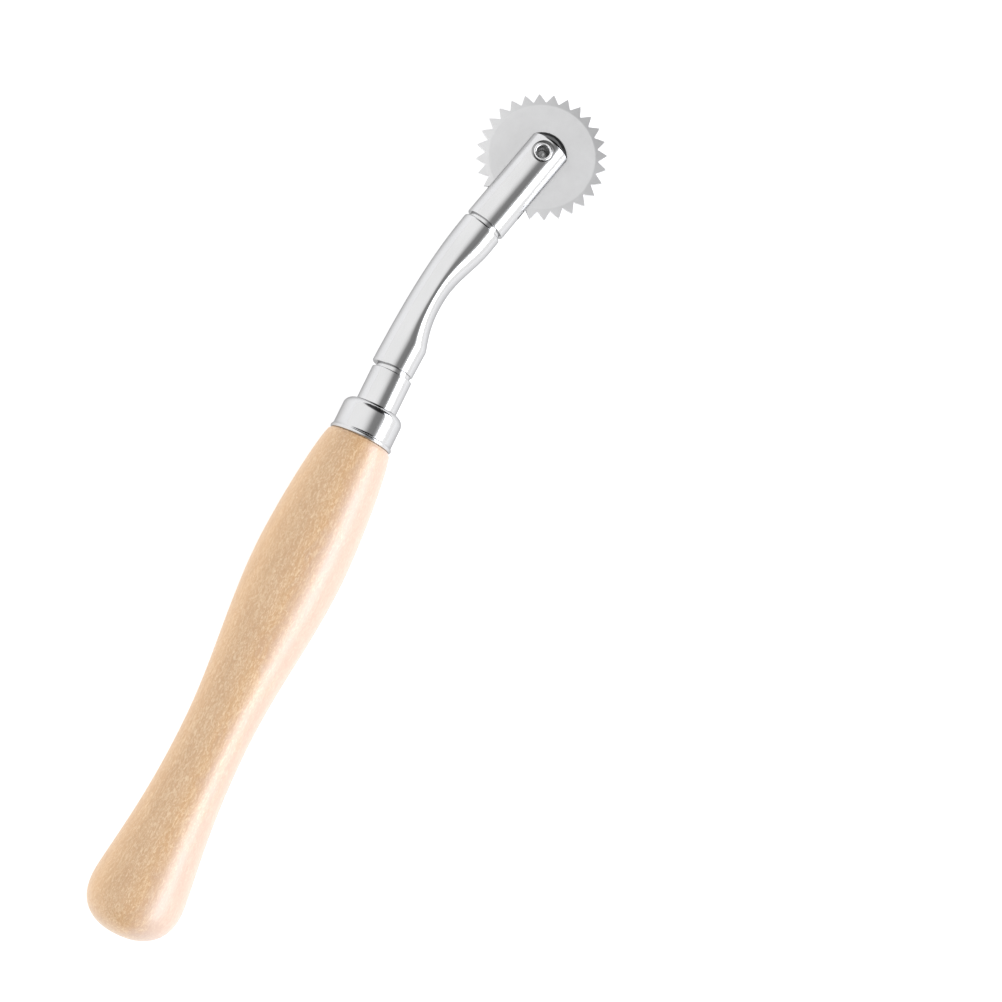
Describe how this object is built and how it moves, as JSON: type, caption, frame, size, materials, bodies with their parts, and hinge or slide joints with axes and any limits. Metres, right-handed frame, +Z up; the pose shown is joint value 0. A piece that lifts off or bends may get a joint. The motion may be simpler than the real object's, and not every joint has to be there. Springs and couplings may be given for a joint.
{
  "type": "tracing wheel",
  "caption": "Tracing wheel for marking pattern lines: a toothed disc on a riveted axle in a slotted round head, with a bent tube arm, a ferrule and a turned wooden handle",
  "frame": {"origin": "on the table under the middle of the tool's box, with the tool lying at rest on the handle's belly, the rivet's domed head and one edge of the wheel", "axes": "+X runs along the handle towards the wheel, +Z is up from the table, +Y is the back of the bend; the wheel's plane lies nearly level, nose down 4.5 degrees and rolled 18 degrees with the inside of the bend turned up"},
  "size_m": [0.1755, 0.0277, 0.023],
  "materials": {
    "handle_wood": "turned beech under a thin satin lacquer",
    "ferrule_chrome": "bright nickel-chrome plate on a drawn steel cup",
    "stem_chrome": "bright nickel-chrome plate on turned steel",
    "arm_chrome": "bright nickel-chrome plate on a bent steel tube",
    "head_chrome": "bright nickel-chrome plate on turned steel",
    "wheel_steel": "satin stamped steel with ground teeth",
    "rivet_steel": "plated steel, rolled over at the near end",
    "sleeve_brass": "plain turned brass",
    "washer_brass": "plain stamped brass"
  },
  "bodies": {
    "tool": {"wooden_handle": "handle_wood", "ferrule": "ferrule_chrome", "stem": "stem_chrome", "bent_arm": "arm_chrome", "fork_head": "head_chrome", "axle_rivet": "rivet_steel", "axle_sleeve": "sleeve_brass", "near_washer": "washer_brass", "far_washer": "washer_brass"},
    "wheel": {"tracing_wheel": "wheel_steel"}
  },
  "joints": [
    {"name": "wheel_spin", "type": "hinge", "parent": "tool", "child": "wheel", "pos_m": [0.07537, -0.00202, 0.0043], "axis": [0.0748, 0.3148, 0.9462], "continuous": true}
  ]
}
